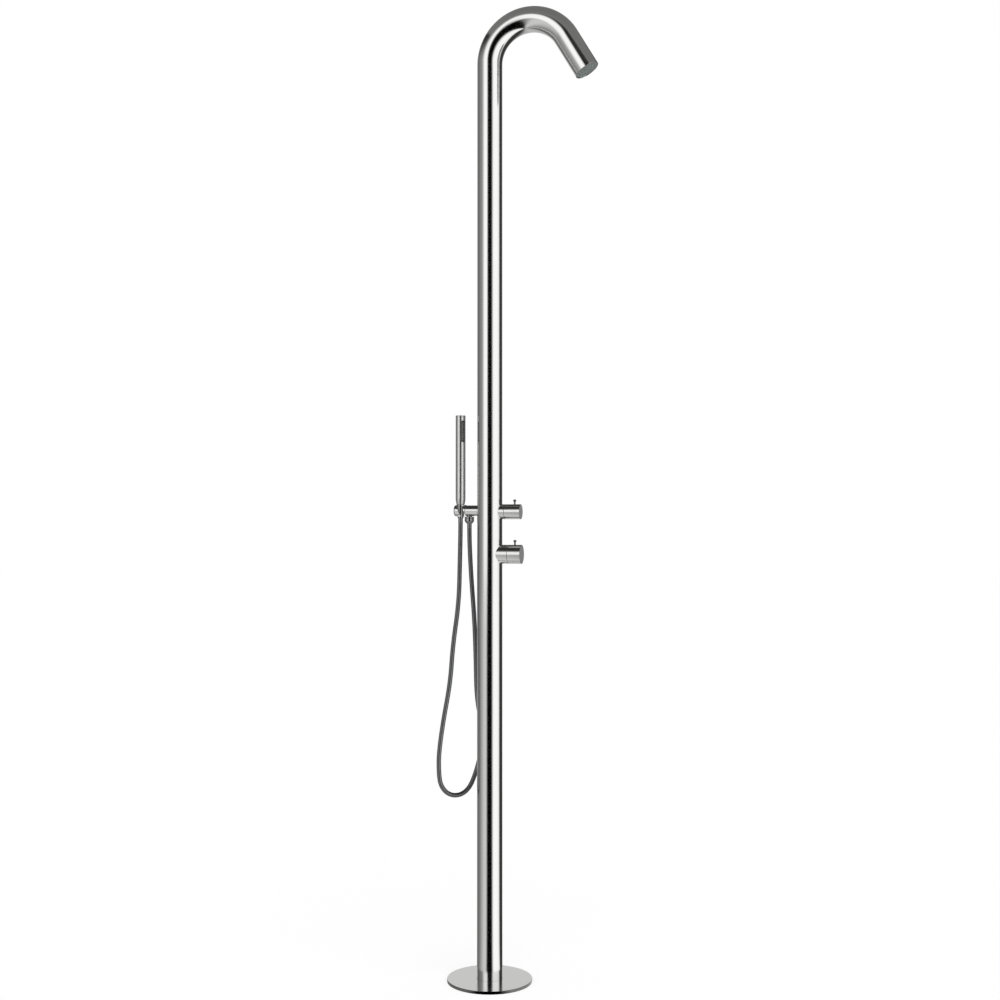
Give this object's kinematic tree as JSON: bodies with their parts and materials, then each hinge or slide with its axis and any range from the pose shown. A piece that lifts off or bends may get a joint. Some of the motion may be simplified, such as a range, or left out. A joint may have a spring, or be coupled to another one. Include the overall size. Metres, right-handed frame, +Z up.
{
  "type": "outdoor shower post",
  "caption": "Free-standing bent steel tube shower post with a spray outlet in its down-turned end, two knobs on one side and a hand shower on a hose on the other.",
  "frame": {"origin": "centre of the anchor hole circle, on the underside of the anchor flange at ground level", "axes": "+Z up along the post, +X towards the spray outlet and the two knobs, +Y to the back"},
  "size_m": [0.3823, 0.2, 2.293],
  "materials": {
    "post_steel": "satin polished",
    "cover_steel": "satin polished",
    "flange_steel": "plain milled",
    "seal_rubber": "matt black",
    "insert_plastic": "fine matt grey",
    "nozzle_rubber": "matt grey",
    "inner_plastic": "moulded",
    "copper_pipe": "bare drawn copper",
    "valve_brass": "machined",
    "cartridge_plastic": "moulded",
    "spindle_steel": "turned",
    "knob_steel": "satin turned",
    "holder_steel": "satin turned",
    "liner_plastic": "smooth pale",
    "hose_metal": "satin turned",
    "hose_sheath": "fine spiral wound",
    "hand_steel": "satin polished",
    "hand_plate": "smooth dark grey",
    "hand_nozzle_rubber": "matt grey"
  },
  "bodies": {
    "post": {"anchor_flange": "flange_steel", "base_cover": "cover_steel", "cover_gasket": "seal_rubber", "post_tube": "post_steel", "spray_insert": "insert_plastic", "spray_nozzles": "nozzle_rubber", "spray_seal": "seal_rubber", "retaining_ring": "flange_steel", "outlet_adapter": "inner_plastic", "riser_pipe": "copper_pipe", "hot_supply_pipe": "copper_pipe", "hot_inlet_union": "valve_brass", "cold_supply_pipe": "copper_pipe", "cold_inlet_union": "valve_brass", "mixer_body": "valve_brass", "mixer_cartridge": "cartridge_plastic", "mixer_cartridge_nut": "valve_brass", "mixer_clamp_nut": "valve_brass", "mixer_collar": "knob_steel", "diverter_body": "valve_brass", "diverter_cartridge": "cartridge_plastic", "diverter_cartridge_nut": "valve_brass", "diverter_clamp_nut": "valve_brass", "diverter_collar": "knob_steel", "link_pipe": "copper_pipe", "outlet_pipe": "copper_pipe", "holder_arm": "holder_steel", "arm_nut": "valve_brass", "holder_head": "holder_steel", "seat_liner": "liner_plastic", "outlet_nipple": "hose_metal", "hose_nut": "hose_metal", "hose_washer": "seal_rubber", "shower_hose": "hose_sheath"},
    "mixer_handle": {"mixer_knob": "knob_steel", "mixer_spindle": "spindle_steel", "mixer_pin": "knob_steel", "mixer_grub_screw": "spindle_steel"},
    "diverter_handle": {"diverter_knob": "knob_steel", "diverter_spindle": "spindle_steel", "diverter_pin": "knob_steel", "diverter_grub_screw": "spindle_steel"},
    "hose_end": {"hose_cone": "hose_metal", "hose_stem": "valve_brass"},
    "hand_shower": {"hand_shower_body": "hand_steel", "hand_shower_cap": "hand_steel", "hand_spray_plate": "hand_plate", "hand_spray_nozzles": "hand_nozzle_rubber", "hand_washer": "seal_rubber", "flow_limiter": "inner_plastic"}
  },
  "joints": [
    {"name": "mixer_turn", "type": "hinge", "parent": "post", "child": "mixer_handle", "pos_m": [0, 0, 1.003], "axis": [1, 0, 0], "range_deg": [0, 120]},
    {"name": "diverter_turn", "type": "hinge", "parent": "post", "child": "diverter_handle", "pos_m": [0, 0, 1.103], "axis": [1, 0, 0], "range_deg": [-45, 45]},
    {"name": "hand_shower_lift", "type": "slide", "parent": "post", "child": "hose_end", "axis": [0, 0, 1], "range_m": [0, 0.045], "deforming": ["shower_hose"]},
    {"name": "hand_shower_swivel", "type": "hinge", "parent": "hose_end", "child": "hand_shower", "pos_m": [-0.072, 0, 1.1205], "axis": [0, 0, 1], "continuous": true}
  ]
}
